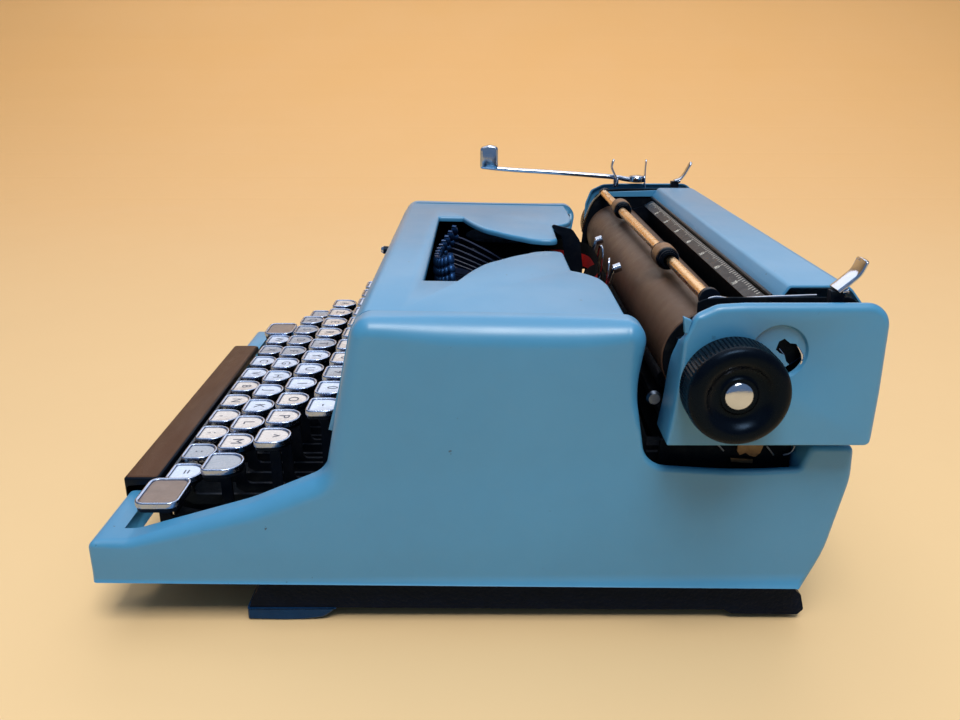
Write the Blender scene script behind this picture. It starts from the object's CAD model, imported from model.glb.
import math

import bmesh
import bpy
from mathutils import Matrix, Vector


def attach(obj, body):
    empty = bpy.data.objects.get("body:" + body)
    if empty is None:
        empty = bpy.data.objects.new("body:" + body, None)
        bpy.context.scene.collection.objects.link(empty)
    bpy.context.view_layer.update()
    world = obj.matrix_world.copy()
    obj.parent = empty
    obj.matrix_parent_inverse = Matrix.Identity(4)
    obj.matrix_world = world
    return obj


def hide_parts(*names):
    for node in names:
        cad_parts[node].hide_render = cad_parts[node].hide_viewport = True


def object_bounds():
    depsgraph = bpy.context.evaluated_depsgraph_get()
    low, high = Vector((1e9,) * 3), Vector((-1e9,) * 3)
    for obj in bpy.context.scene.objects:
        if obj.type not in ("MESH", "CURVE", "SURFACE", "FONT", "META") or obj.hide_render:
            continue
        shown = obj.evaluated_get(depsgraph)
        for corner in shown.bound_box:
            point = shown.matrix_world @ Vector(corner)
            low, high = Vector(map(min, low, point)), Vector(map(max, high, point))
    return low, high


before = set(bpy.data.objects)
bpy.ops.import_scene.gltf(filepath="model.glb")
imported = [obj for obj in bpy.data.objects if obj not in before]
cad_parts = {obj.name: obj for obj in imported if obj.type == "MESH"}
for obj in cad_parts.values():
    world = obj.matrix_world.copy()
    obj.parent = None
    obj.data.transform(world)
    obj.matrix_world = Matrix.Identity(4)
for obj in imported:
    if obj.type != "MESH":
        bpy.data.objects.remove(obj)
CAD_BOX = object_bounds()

# ------------------------------------------------------------------ driving dimensions
# Millimetres. X to the typist's right, Y back from the front edge of the body, Z up from the table.
MM = 0.001
FRONT_EDGE = CAD_BOX[0].y + 2 * MM          # the space bar stands 2 mm in front of the body
HALF_WIDTH = 127.0
SEAM = 114.3
WELL_HALF = 117.0
SHEET = 2.0
KEY_PITCH = 19.05
KEY_ROWS = {
    "bottom": dict(x0=-85.7, y=24.0, z=46.0, letters="WXCVBN,;:="),
    "home": dict(x0=-95.2, y=43.1, z=55.2, letters="QSDFGHJKLM "),
    "top": dict(x0=-100.0, y=62.3, z=64.3, letters="AZERTYUIOP^"),
    "number": dict(x0=-109.5, y=81.4, z=73.5, letters="1234567890-"),
}
LEVER_PIVOT = (190.0, 33.0)
PLATEN = dict(y=225.5, z=104.5, r=17.0, half=111.8)
BAIL = dict(y=220.0, z=128.0, arm=115.0, roller=57.0, pivot=(258.0, 124.0))
STRIKE = (207.0, 107.0)
BAR_LENGTH = 60.9
BAR_WIDTH = 2.5
BASKET_TILT = math.radians(43.7)
NOTCH_HALF = 87.5                   # the space bar's notch in the front rail
NOTCH_FLOOR = 24.5
RAIL_BACK = 9.99                    # where the rail ends and the key well starts
DECK_FRONT = 257.7                  # where the trough rises to the rear deck
BAR_ENDS = (-81.5, 86.4)
GUIDE_X = 20.6                      # the card guide's two fins
GRAIN_DEPTH = 0.4 * MM
SIDES = ((-1, "left"), (1, "right"))
OPEN = (False, False)               # rings skinned without closing faces at their ends
BAR_COUNT = 14
BAR_FAN = math.radians(36)          # half of the angle that the typebars fan out over
BAR_STEP = 2 * BAR_FAN / BAR_COUNT


def at(x, y, z):
    """A point in metres in the row frame."""
    return Vector((x * MM, FRONT_EDGE + y * MM, z * MM))


def show(obj):
    bpy.context.scene.collection.objects.link(obj)


# ------------------------------------------------------------------ outlines
def round_path(corners, closed=False, step=0.35):
    """Points along straight runs whose corners are rounded; a corner's third number is its radius."""
    points = []
    count = len(corners)
    for i, corner in enumerate(corners):
        here = Vector(corner[:2])
        radius = corner[2] if len(corner) > 2 else 0
        ends = not closed and i in (0, count - 1)
        if radius == 0 or ends:
            points.append(here)
            continue
        back = (Vector(corners[i - 1][:2]) - here).normalized()
        ahead = (Vector(corners[(i + 1) % count][:2]) - here).normalized()
        half = back.angle(ahead) / 2
        reach = radius / math.tan(half)
        start = here + back * reach
        finish = here + ahead * reach
        centre = here + (back + ahead).normalized() * (radius / math.sin(half))
        sweep = math.pi - 2 * half
        steps = max(2, min(16, int(radius * sweep / step) + 1))
        side = 1 if back.cross(ahead) < 0 else -1
        first = start - centre
        for k in range(steps + 1):
            angle = side * sweep * k / steps
            c, s = math.cos(angle), math.sin(angle)
            turned = Vector((first.x * c - first.y * s, first.x * s + first.y * c))
            points.append(centre + turned)
        points[-1] = finish
    return points


def closed_path(corners, step=0.35):
    return round_path(corners, True, step)


def rounded_box(x0, x1, y0, y1, radius, step=0.35):
    return closed_path([(x0, y0, radius), (x1, y0, radius), (x1, y1, radius), (x0, y1, radius)], step)


def normals(points, closed=False):
    """Unit normals to the left of the path."""
    out = []
    count = len(points)
    for i in range(count):
        before = points[i - 1] if closed or i > 0 else points[i]
        after = points[(i + 1) % count] if closed or i < count - 1 else points[i]
        along = (after - before).normalized()
        out.append(Vector((-along.y, along.x)))
    return out


def offset(points, by):
    """A closed outline moved inwards by a distance."""
    area = sum(points[i - 1].cross(p) for i, p in enumerate(points))
    inward = by if area > 0 else -by
    return [p + n * inward for p, n in zip(points, normals(points, True))]


def split_long(points, longest):
    """Adds points so that no straight run is longer than a limit."""
    out = [points[0]]
    for p in points[1:]:
        parts = max(1, math.ceil((p - out[-1]).length / longest))
        start = out[-1]
        out.extend(start.lerp(p, (k + 1) / parts) for k in range(parts))
    return out


def quarter_round(steps):
    """How far back and how far down, as parts of the radius, a rounded edge is at each step."""
    turns = [math.pi / 2 * k / steps for k in range(steps + 1)]
    return [(1 - math.sin(a), 1 - math.cos(a)) for a in turns]


# ------------------------------------------------------------------ mesh building
class Shape:
    """Vertices in millimetres, faces, and the material number of each face."""

    def __init__(self):
        self.verts = []
        self.faces = []
        self.slots = []

    def add(self, verts, faces, slot=0):
        base = len(self.verts)
        self.verts.extend(tuple(v) for v in verts)
        self.faces.extend(tuple(base + i for i in face) for face in faces)
        self.slots.extend([slot] * len(faces))

    def rings(self, rings, slot=0, wrap=True, caps=(True, True)):
        """Skins rings of equal length; slot may be one number or one per band."""
        count = len(rings[0])
        bands = slot if isinstance(slot, (list, tuple)) else [slot] * max(1, len(rings) - 1)
        steps = [(i, (i + 1) % count) for i in range(count if wrap else count - 1)]
        faces = [(i, j, count + j, count + i) for i, j in steps]
        for low, high, band in zip(rings, rings[1:], bands):
            self.add(list(low) + list(high), faces, band)
        if caps[0]:
            self.add(rings[0], [tuple(reversed(range(count)))], bands[0])
        if caps[1]:
            self.add(rings[-1], [tuple(range(count))], bands[-1])

    def prism_x(self, outline, x0, x1, slot=0):
        self.rings([[(x, p[0], p[1]) for p in outline] for x in (x0, x1)], slot)

    def drawn_in_x(self, outline, stations, slot=0):
        """A bar along X; each station is a place along it and how far the outline is drawn in there."""
        self.rings([[(x, p.x, p.y) for p in offset(outline, inset)] for x, inset in stations], slot)

    def prism_y(self, outline, y0, y1, slot=0):
        self.rings([[(p[0], y, p[1]) for p in outline] for y in (y0, y1)], slot)

    def prism_z(self, outline, z0, z1, slot=0):
        self.rings([[(p[0], p[1], z) for p in outline] for z in (z0, z1)], slot)

    def block(self, x0, x1, y0, y1, z0, z1, slot=0):
        self.prism_z([(x0, y0), (x1, y0), (x1, y1), (x0, y1)], z0, z1, slot)

    def turned(self, profile, centre, axis="X", sides=48, slot=0, ripple=None):
        """A profile of (radius, distance along the axis), turned about a line through centre."""
        rings = []
        for radius, along in profile:
            ring = []
            for i in range(sides):
                angle = 2 * math.pi * i / sides
                r = radius + (ripple(angle, radius, along) if ripple else 0)
                a, b = r * math.cos(angle), r * math.sin(angle)
                if axis == "X":
                    ring.append((along, centre[0] + a, centre[1] + b))
                else:
                    ring.append((centre[0] + a, centre[1] + b, along))
            rings.append(ring)
        self.rings(rings, slot)

    def rod(self, radius, start, end, centre, sides=32, slot=0, axis="X"):
        self.turned([(0, start), (radius, start), (radius, end), (0, end)], centre, axis, sides, slot)

    def tube(self, path, radius, slot=0, sides=14):
        """A round bar along points, with flat ends."""
        path = [Vector(p) for p in path]
        side = Vector((0, 0, 1))
        rings = []
        for i, p in enumerate(path):
            before = path[max(0, i - 1)]
            after = path[min(len(path) - 1, i + 1)]
            along = (after - before).normalized()
            across = side.cross(along)
            if across.length < 1e-3:
                across = Vector((1, 0, 0)).cross(along)
            across.normalize()
            up = along.cross(across)
            r = radius(i / (len(path) - 1)) if callable(radius) else radius
            rings.append([p + (across * math.cos(a) + up * math.sin(a)) * r
                          for a in (2 * math.pi * k / sides for k in range(sides))])
        self.rings(rings, slot)

    def moved(self, matrix):
        self.verts = [tuple(matrix @ Vector(v)) for v in self.verts]
        return self

    def join(self, other, slot_shift=0):
        self.add(other.verts, other.faces)
        self.slots[-len(other.faces):] = [s + slot_shift for s in other.slots]
        return self


def smooth_line(points, parts=10):
    """A Catmull-Rom curve through points."""
    points = [Vector(p) for p in points]
    out = []
    for i in range(len(points) - 1):
        a = points[max(0, i - 1)]
        b, c = points[i], points[i + 1]
        d = points[min(len(points) - 1, i + 2)]
        for k in range(parts):
            t = k / parts
            out.append(0.5 * ((2 * b) + (c - a) * t + (2 * a - 5 * b + 4 * c - d) * t * t
                              + (3 * b - a - 3 * c + d) * t ** 3))
    out.append(points[-1])
    return out


def piece(shape, name, body, materials, replaces=(), bevel=0.0, sheet=0.0, angle=35):
    """Makes a shape into an object that rides on a body."""
    mesh = bpy.data.meshes.new(name)
    mesh.from_pydata([at(*v) for v in shape.verts], [], shape.faces)
    for material in materials:
        mesh.materials.append(material)
    mesh.polygons.foreach_set("material_index", shape.slots)
    work = bmesh.new()
    work.from_mesh(mesh)
    bmesh.ops.remove_doubles(work, verts=work.verts, dist=0.01 * MM)
    bmesh.ops.dissolve_degenerate(work, edges=work.edges, dist=0.005 * MM)
    bmesh.ops.recalc_face_normals(work, faces=work.faces)
    work.to_mesh(mesh)
    work.free()
    mesh.shade_smooth()
    mesh.set_sharp_from_angle(angle=math.radians(angle))
    obj = bpy.data.objects.new(name, mesh)
    show(obj)
    if sheet:
        wall = obj.modifiers.new("sheet", "SOLIDIFY")
        wall.thickness = sheet * MM
        wall.offset = -1
        wall.use_even_offset = False
    if bevel:
        edge = obj.modifiers.new("edges", "BEVEL")
        edge.width = bevel * MM
        edge.segments = 2
        edge.limit_method = "ANGLE"
        edge.angle_limit = math.radians(40)
        edge.harden_normals = False
    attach(obj, body)
    if replaces:
        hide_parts(*replaces)


# ------------------------------------------------------------------ materials
def linear(r, g, b):
    """sRGB from 0 to 255 as linear light."""
    def one(c):
        c /= 255
        return c / 12.92 if c <= 0.04045 else ((c + 0.055) / 1.055) ** 2.4
    return (one(r), one(g), one(b), 1.0)


def tone(color, factor):
    return tuple(min(1.0, c * factor) for c in color[:3]) + (1.0,)


def node(tree, kind, inputs, **settings):
    """A shader node with its settings; each input takes a value or another node's output."""
    made = tree.nodes.new(kind)
    for key, value in settings.items():
        setattr(made, key, value)
    for key, value in inputs.items():
        if isinstance(value, bpy.types.NodeSocket):
            tree.links.new(value, made.inputs[key])
        else:
            made.inputs[key].default_value = value
    return made


def noise(tree, coords, size_mm, detail=4.0, rough=0.55):
    inputs = {"Scale": 1000.0 / size_mm, "Detail": detail, "Roughness": rough, "Vector": coords}
    return node(tree, "ShaderNodeTexNoise", inputs).outputs["Fac"]


def ramp(tree, value, low, high, a=(0, 0, 0, 1), b=(1, 1, 1, 1)):
    made = node(tree, "ShaderNodeValToRGB", {"Fac": value})
    for element, position, color in zip(made.color_ramp.elements, (low, high), (a, b)):
        element.position = position
        element.color = color
    return made.outputs["Color"]


def spread(tree, value, low, high, start=0.3, end=0.7):
    """Maps start..end to low..high."""
    inputs = {"From Min": start, "From Max": end, "To Min": low, "To Max": high, "Value": value}
    return node(tree, "ShaderNodeMapRange", inputs).outputs["Result"]


def mix(tree, factor, a, b):
    return node(tree, "ShaderNodeMix", {0: factor, 6: a, 7: b}, data_type="RGBA").outputs[2]


def multiply(tree, a, b):
    return node(tree, "ShaderNodeMath", {0: a, 1: b}, operation="MULTIPLY").outputs[0]


def surface(name, color, rough, metal=0.0, mottle=0.08, mottle_mm=30.0, rough_spread=0.08,
            grain=0.1, grain_mm=0.6, coat=0.0, chips=None, chip_limit=0.7, dust=None, stretch=None,
            specular=0.5, tint=None, coat_rough=0.12):
    """A finish with large and small colour variation, uneven gloss, grain, chips and dust."""
    material = bpy.data.materials.new(name)
    material.use_nodes = True
    tree = material.node_tree
    shader = tree.nodes["Principled BSDF"]
    shader.inputs["Metallic"].default_value = metal
    shader.inputs["Specular IOR Level"].default_value = specular
    if coat:
        shader.inputs["Coat Weight"].default_value = coat
        shader.inputs["Coat Roughness"].default_value = coat_rough
    if tint:
        shader.inputs["Specular Tint"].default_value = tint
    coords = tree.nodes.new("ShaderNodeTexCoord").outputs["Object"]
    if stretch:
        coords = node(tree, "ShaderNodeMapping", {"Vector": coords, "Scale": stretch}).outputs["Vector"]
    wide = noise(tree, coords, mottle_mm, 5.0)
    fine = noise(tree, coords, mottle_mm / 9, 6.0)
    base = ramp(tree, wide, 0.3, 0.7, tone(color, 1 - mottle), tone(color, 1 + mottle))
    base = mix(tree, multiply(tree, ramp(tree, fine, 0.45, 0.75), mottle * 2), base, tone(color, 0.72))
    gloss = spread(tree, noise(tree, coords, mottle_mm / 3, 5.0), rough - rough_spread,
                   rough + rough_spread)
    if dust:
        settled = ramp(tree, noise(tree, coords, 7.0, 8.0, 0.7), 0.5, 0.72)
        base = mix(tree, multiply(tree, settled, dust), base, linear(150, 146, 138))
    if chips:
        spots = noise(tree, coords, 3.2, 3.0, 0.6)
        where = ramp(tree, noise(tree, coords, 45.0, 2.0), 0.5, 0.62)
        chipped = multiply(tree, ramp(tree, spots, chip_limit, chip_limit + 0.015), where)
        base = mix(tree, chipped, base, chips)
    tree.links.new(base, shader.inputs["Base Color"])
    tree.links.new(gloss, shader.inputs["Roughness"])
    bump = node(tree, "ShaderNodeBump", {"Strength": grain, "Distance": GRAIN_DEPTH,
                                         "Height": noise(tree, coords, grain_mm, 3.0)})
    tree.links.new(bump.outputs["Normal"], shader.inputs["Normal"])
    return material


BLUE = linear(68, 139, 183)
COOL = (0.35, 0.6, 1.0, 1.0)         # the bluish sheen of the black plastics
ENAMEL = surface("blue_enamel", BLUE, 0.38, mottle=0.04, mottle_mm=70, rough_spread=0.05, grain=0.04,
                 grain_mm=1.6, coat=0.22, coat_rough=0.3, chips=linear(30, 45, 58), chip_limit=0.72,
                 dust=0.015)
BLACK_STEEL = surface("black_steel", linear(10, 14, 22), 0.42, 0.1, mottle=0.25, mottle_mm=12, grain=0.25,
                      dust=0.03, specular=0.3, tint=COOL)
DARK_INSIDE = surface("dark_inside", linear(6, 8, 12), 0.6, 0.1, mottle=0.3, mottle_mm=9, grain=0.4,
                      dust=0.03, specular=0.2, tint=COOL)
PAN_BLACK = surface("pan_black", linear(5, 10, 26), 0.45, mottle=0.3, mottle_mm=5, grain=0.9,
                    grain_mm=1.4, specular=0.14, tint=COOL)
FOOT_RUBBER = surface("foot_rubber", linear(8, 50, 90), 0.36, mottle=0.2, mottle_mm=8, grain=0.3,
                      grain_mm=0.9, dust=0.02, specular=0.3, tint=COOL)
KNOB_BLACK = surface("knob_black", linear(4, 7, 14), 0.3, mottle=0.2, mottle_mm=9, grain=0.04,
                     specular=0.14, tint=COOL)
PLATEN_RUBBER = surface("platen_rubber", linear(84, 62, 49), 0.48, mottle=0.14, mottle_mm=22, grain=0.3,
                        grain_mm=0.5, dust=0.05, specular=0.35)
ROLLER_RUBBER = surface("roller_rubber", linear(122, 86, 55), 0.5, mottle=0.15, mottle_mm=6, grain=0.3)
BAR_BROWN = surface("space_bar_brown", linear(78, 51, 35), 0.5, mottle=0.09, mottle_mm=18, grain=0.35,
                    grain_mm=0.45, rough_spread=0.1, dust=0.02, stretch=(0.3, 1, 1), specular=0.2)
BAR_BLACK = surface("space_bar_black", linear(8, 12, 20), 0.36, mottle=0.2, mottle_mm=9, grain=0.15,
                    specular=0.2, tint=COOL)
CHROME = surface("chrome", linear(190, 200, 218), 0.14, 1.0, mottle=0.06, mottle_mm=8, grain=0.06,
                 rough_spread=0.07)
ROD_METAL = surface("bail_rod_metal", linear(232, 198, 154), 0.28, 1.0, mottle=0.08, mottle_mm=8,
                    grain=0.08)
RING_METAL = surface("ring_metal", linear(166, 182, 212), 0.22, 1.0, mottle=0.12, mottle_mm=5, grain=0.12,
                     rough_spread=0.1)
STEEL = surface("steel", linear(112, 124, 142), 0.33, 1.0, mottle=0.15, mottle_mm=5, grain=0.2)
SLUG_METAL = surface("slug_metal", linear(30, 66, 112), 0.42, 0.85, mottle=0.25, mottle_mm=4, grain=0.2)
BAR_STEEL = surface("typebar_steel", linear(16, 28, 54), 0.4, 0.7, mottle=0.25, mottle_mm=4, grain=0.2)
BRASS = surface("brass", linear(116, 98, 76), 0.5, 0.85, mottle=0.25, mottle_mm=5, grain=0.3)
FACES = [
    surface("face_blue_white", linear(194, 210, 236), 0.25, mottle=0.05, mottle_mm=6, grain=0.06, coat=0.5),
    surface("face_cream", linear(204, 198, 198), 0.27, mottle=0.06, mottle_mm=6, grain=0.06, coat=0.5),
    surface("face_grey", linear(142, 154, 172), 0.3, mottle=0.08, mottle_mm=6, grain=0.06, coat=0.5),
]
SHIFT_FACE = surface("shift_face", linear(128, 112, 106), 0.4, mottle=0.12, mottle_mm=5, grain=0.2)
INK = surface("ink", linear(58, 66, 88), 0.5, mottle=0.1, mottle_mm=3, grain=0.1)
SCALE_BLACK = surface("scale_black", linear(8, 10, 16), 0.32, mottle=0.2, mottle_mm=9, grain=0.1,
                      specular=0.2, tint=COOL)
SCALE_WHITE = surface("scale_white", linear(214, 212, 204), 0.5, mottle=0.1, mottle_mm=3, grain=0.1)
RIBBON_RED = surface("ribbon_red", linear(205, 14, 12), 0.75, mottle=0.15, mottle_mm=3, grain=0.5,
                     grain_mm=0.4)
RIBBON_BLACK = surface("ribbon_black", linear(10, 10, 12), 0.8, mottle=0.2, mottle_mm=3, grain=0.5,
                       grain_mm=0.4, specular=0.2)


# ------------------------------------------------------------------ body shell
BODY_PATH = [(-0.5, 20.6), (-0.3, 24.6), (-0.2, 37.9, 3), (10, 37.9), (15, 37.9, 14), (60, 51.3, 60),
             (87.8, 63.4, 10), (95.6, 99.5, 60), (100.8, 122.6, 8), (201.9, 120.9, 7.2), (197.9, 96.0, 40),
             (202.5, 68.6, 9), (236, 66.3, 200), (257.4, 67.6, 2.2), (260.5, 76.4, 2.6), (275.5, 76.4, 2.8),
             (276.2, 63.5, 30), (270.7, 33.4, 60), (264.0, 16.9), ]
TROUGH_SEAM = 124.8                 # the trough's blue lip is only the rounded edge of the cheek


def corner_radius(y, z):
    """Rounding between the side profile and the flat of the cheek."""
    if y < 2.5:
        return 1.6
    if z < 40 and y < 30:
        return 3.4
    if y < 100 and z < 80:
        return 3.8 + 3.2 * min(1.0, (y - 15) / 60)
    if y < 112:
        return 6.0
    if y < 196 and z > 110:
        return 6.0 + 3.5 * min(1.0, (y - 112) / 20, (196 - y) / 14)
    if y < 204 and z > 72:
        return 2.0 + 4.0 * min(1.0, max(0.0, (z - 80) / 32))
    if y < 259:
        return 2.0
    return 2.2


def smooth_values(values, rounds=6):
    for _ in range(rounds):
        values = [(values[max(0, i - 1)] + v + values[min(len(values) - 1, i + 1)]) / 3
                  for i, v in enumerate(values)]
    return values


def body_shell():
    """The side profile carried across the machine, with rounded cheeks, key well and carriage trough."""
    shape = Shape()
    path = split_long(round_path(BODY_PATH, step=0.8), 4)
    inward = [-n for n in normals(path)]
    radii = smooth_values([corner_radius(*p) for p in path])
    steps = 8

    def seam(y, z):
        if y > 198 and z < 84:
            return SEAM + (TROUGH_SEAM - SEAM) * min(1, (84 - z) / 10)
        if y < 88 and z < 66:
            return WELL_HALF
        if z > 60 and y < 100:
            return WELL_HALF - (WELL_HALF - SEAM) * min(1, max(0, (z - 64) / 16))
        return SEAM

    def column(p, n, radius):
        side = []
        for back, drop in quarter_round(steps):
            q = p + n * (radius * drop)
            side.append((HALF_WIDTH - radius * back, q.x, q.y))
        return side

    rows = []
    for p, n, radius in zip(path, inward, radii):
        side = column(p, n, radius)
        inner = seam(*p)
        right = [(inner, p.x, p.y)] + side
        left = [(-x, y, z) for x, y, z in reversed(right)]
        rows.append(left + [(-NOTCH_HALF, p.x, p.y), (NOTCH_HALF, p.x, p.y)] + right)
    width = len(rows[0])
    edge = steps + 1
    rail_end = next(i for i, p in enumerate(path) if p.x > RAIL_BACK and p.y > 37)
    rear_start = next(i for i, p in enumerate(path) if p.x > DECK_FRONT and i > len(path) / 2)
    for i in range(len(rows) - 1):
        across = i < rail_end or i >= rear_start
        notched = i < rail_end and path[i].y > NOTCH_FLOOR
        open_bands = {edge + 1} if notched else set()
        if not across:
            open_bands = {edge, edge + 1, edge + 2}
        pairs = [(k, k + 1, width + k + 1, width + k) for k in range(width - 1) if k not in open_bands]
        shape.add(rows[i] + rows[i + 1], pairs)
    for column_index in (0, width - 1):
        ring = [row[column_index] for row in rows]
        shape.add(ring, [tuple(range(len(ring)))])
    # inner flanges along the well, the cover seam and the trough
    for column_index in (edge, edge + 3):
        top = []
        low = []
        for i in range(rail_end, rear_start + 1):
            x, y, z = rows[i][column_index]
            depth = 9 if y < 84 and z < 62 else 5 if y < 200 else 2.4
            n = inward[i]
            top.append((x, y, z))
            low.append((x, y + n.x * depth, z + n.y * depth))
        faces = [(i, i + 1, len(top) + i + 1, len(top) + i) for i in range(len(top) - 1)]
        shape.add(top + low, faces)
    # the rail's inner wall and the deck's front edge
    for row, depth in ((rows[rail_end], 9), (rows[rear_start], 8)):
        spans = [(edge, edge + 1), (edge + 2, edge + 3)]
        if row is rows[rear_start]:
            spans.append((edge + 1, edge + 2))
        for a, b in spans:
            pa, pb = row[a], row[b]
            shape.add([pa, pb, (pb[0], pb[1], pb[2] - depth), (pa[0], pa[1], pa[2] - depth)],
                      [(0, 1, 2, 3)])
    piece(shape, "enamelled_body", "chassis", [ENAMEL], ["body_shell"], sheet=SHEET,
          bevel=0.35, angle=32)


# ------------------------------------------------------------------ ribbon cover
COVER_SLOPE = (122.2 - 120.6) / (194.6 - 108)


def cover_height(y):
    return 122.2 - COVER_SLOPE * (y - 108)


def window_path():
    """The cover's rear edge and the bottle-shaped window, from the right rear corner to the left."""
    throat = [(70, 134.6), (54, 139.8), (39.7, 146.1), (31.6, 152.5), (24.4, 158.3), (18.9, 164.3),
              (14.6, 168.9), (12.4, 174.2)]
    step = [(72, 194.5), (63, 192.9), (56, 189.3), (51.7, 185.6)]
    curve = [p.xy for p in smooth_line([(x, y, 0) for x, y in throat], 5)]
    head = [Vector((113.6, 194.6)), Vector((78, 194.6))]
    head += [p.xy for p in smooth_line([(x, y, 0) for x, y in step], 5)]
    head += round_path([(51.7, 185.6), (49.2, 182.3, 1.4), (12.3, 182.0, 4.2), (12.4, 174.2)], step=0.5)[1:]
    foot = round_path([(70, 134.6), (70.2, 121.6, 1.2), (0, 121.6)], step=0.4)
    half = split_long(head[:-1] + list(reversed(curve))[:-1] + foot, 3)
    mirrored = [Vector((-p.x, p.y)) for p in reversed(half[:-1])]
    return half + mirrored


def ribbon_cover():
    """The top between the cheeks: a front slope, and a flat sheet with a rolled edge round its window."""
    shape = Shape()
    half = SEAM - 0.6
    edge = window_path()
    toward = normals(edge)          # to the left of travel: away from the sheet
    if toward[2].y < 0:
        toward = [-n for n in toward]
    roll = 1.3
    rows = []
    for back, drop in quarter_round(6):
        rows.append([(p.x - n.x * roll * back, p.y - n.y * roll * back, cover_height(p.y) - roll * drop)
                     for p, n in zip(edge, toward)])
    rows.append([(p.x, p.y, cover_height(p.y) - 2.6) for p in edge])
    for row in rows:
        row[0] = (half, row[0][1], row[0][2])
        row[-1] = (-half, row[-1][1], row[-1][2])
    shape.rings(rows, wrap=False, caps=OPEN)
    front_y = 116.0
    flat = [(x, front_y, cover_height(front_y)) for x in (-half, half)] + rows[0]
    shape.add(flat, [tuple(range(len(flat)))])
    slope = split_long(round_path([(88.6, 77), (93.2, 93.4), (98.4, 116.5, 14), (103.4, 122.3, 5),
                                   (front_y, cover_height(front_y))], step=0.8), 6)
    shape.rings([[(x, p.x, p.y) for x in (-half, half)] for p in slope], wrap=False, caps=OPEN)
    piece(shape, "enamelled_ribbon_cover", "chassis", [ENAMEL], ["ribbon_cover"], sheet=SHEET,
          bevel=0.3, angle=32)


# ------------------------------------------------------------------ base and feet
def base_tray():
    """The black tray with its side rails and rear pads."""
    shape = Shape()
    outline = closed_path([(-98, 59.6, 4), (98, 59.6, 4), (98, 87), (119, 87), (119, 264, 7),
                           (-119, 264, 7), (-119, 87), (-98, 87)])
    inner = offset(outline, 2)
    shape.rings([[(p.x, p.y, 15) for p in outline], [(p.x, p.y, 6.5) for p in outline],
                 [(p.x, p.y, 5.5) for p in offset(outline, 1)]], caps=(False, True))
    shape.rings([[(x, y, 15) for x, y in inner], [(x, y, 7) for x, y in inner]], caps=(False, True))
    shape.rings([[(p.x, p.y, 15) for p in outline], [(x, y, 15) for x, y in inner]], caps=OPEN)
    rail = closed_path([(59.6, 18), (59.6, 14.7), (56.3, 9.1, 3), (55.2, 5.9), (98, 5.4), (205, 4.6),
                        (238, 4.5, 1), (240.8, 2.6, 1), (266.4, 2.2, 1.6), (268.5, 4.6, 1.4),
                        (266.8, 11.2, 1.6), (264.6, 13, 1), (263, 18)], 0.4)
    front = closed_path([(59.6, 15), (56.3, 9.1, 3), (55.2, 5.9), (90, 5.6), (90, 15)], 0.4)
    pad = closed_path([(238.8, 5.5), (240.8, 2.6, 1), (266.4, 2.2, 1.6), (268.3, 5.5)], 0.4)
    for side in (-1, 1):
        shape.prism_x(rail, side * 118.2, side * 121.4)
        shape.prism_x(front, side * 98, side * 118.4)
        shape.prism_x(pad, side * 97, side * 118.4)
    piece(shape, "base_tray", "chassis", [PAN_BLACK], ["base_pan"], bevel=0.3)


def rubber_feet():
    """Two front feet that run in from the sides under the tray."""
    for side, name in reversed(SIDES):
        foot = Shape()
        profile = closed_path([(54.3, 5.7, 0.4), (54.3, 0.4, 0.8), (68.6, 0.0, 8), (76, 0.2, 8),
                               (83.9, 1.3, 6), (88.5, 5.0, 0.7), (88.5, 5.7)], 0.5)
        stations = ((97.6, 1.0), (98.4, 0.2), (99.2, 0.0), (120.4, 0.0), (121.4, 0.2), (121.8, 0.7))
        foot.drawn_in_x(profile, [(side * x, inset) for x, inset in stations])
        piece(foot, f"rubber_foot_{name}", "chassis", [FOOT_RUBBER], [f"front_foot_{name}"])


# ------------------------------------------------------------------ keys
def glyph(text, size, x, y, z, slot):
    """A letter's mesh as a Shape, upright for someone at the keyboard."""
    curve = bpy.data.curves.new("glyph", "FONT")
    curve.body = text
    curve.size = size
    curve.align_x = "CENTER"
    curve.align_y = "CENTER"
    curve.extrude = 0.05
    curve.resolution_u = 3
    holder = bpy.data.objects.new("glyph", curve)
    show(holder)
    bpy.context.view_layer.update()
    mesh = bpy.data.meshes.new_from_object(holder)
    shape = Shape()
    shape.add([(x + v.co.x, y + v.co.y, z + v.co.z) for v in mesh.vertices],
              [tuple(p.vertices) for p in mesh.polygons], slot)
    bpy.data.objects.remove(holder)
    bpy.data.meshes.remove(mesh)
    bpy.data.curves.remove(curve)
    return shape


def tombstone(width, depth):
    """A key's outline: flat front with rounded corners, round back."""
    w, d = width / 2, depth / 2
    return split_long(closed_path([(-w, -d, 2.6), (w, -d, 2.6), (w, d - w * 0.98), (w * 0.98, d, w * 0.93),
                                  (-w * 0.98, d, w * 0.93), (-w, d - w * 0.98)], 0.7), 3)


def cap(shape, outline, x, y, z, height, face_slot, lip=1.15):
    """A key cap: dark base (slot 3), bright ring (slot 0), dark joint line (slot 2) and sunk face."""
    def ring(inset, level):
        return [(x + p.x, y + p.y, z + level) for p in offset(outline, inset)]
    levels = [(1.3, -height), (0.55, -height + 0.4), (0.45, -2.35), (0.0, -2.3),
              (0.0, -0.55), (0.1, -0.2), (0.35, -0.03), (0.6, 0.0), (lip - 0.2, -0.06), (lip, -0.25),
              (lip, -0.62), (lip + 0.3, -0.62)]
    slots = [3, 3, 0, 0, 0, 0, 0, 0, 0, 0, 2]
    shape.rings([ring(*level) for level in levels], slots, caps=(True, False))
    face = [ring(lip + 0.3, -0.62), ring(lip + 0.5, -0.5), ring(lip + 0.9, -0.46), ring(lip + 1.4, -0.5)]
    shape.rings(face, face_slot, caps=(False, True))


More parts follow.
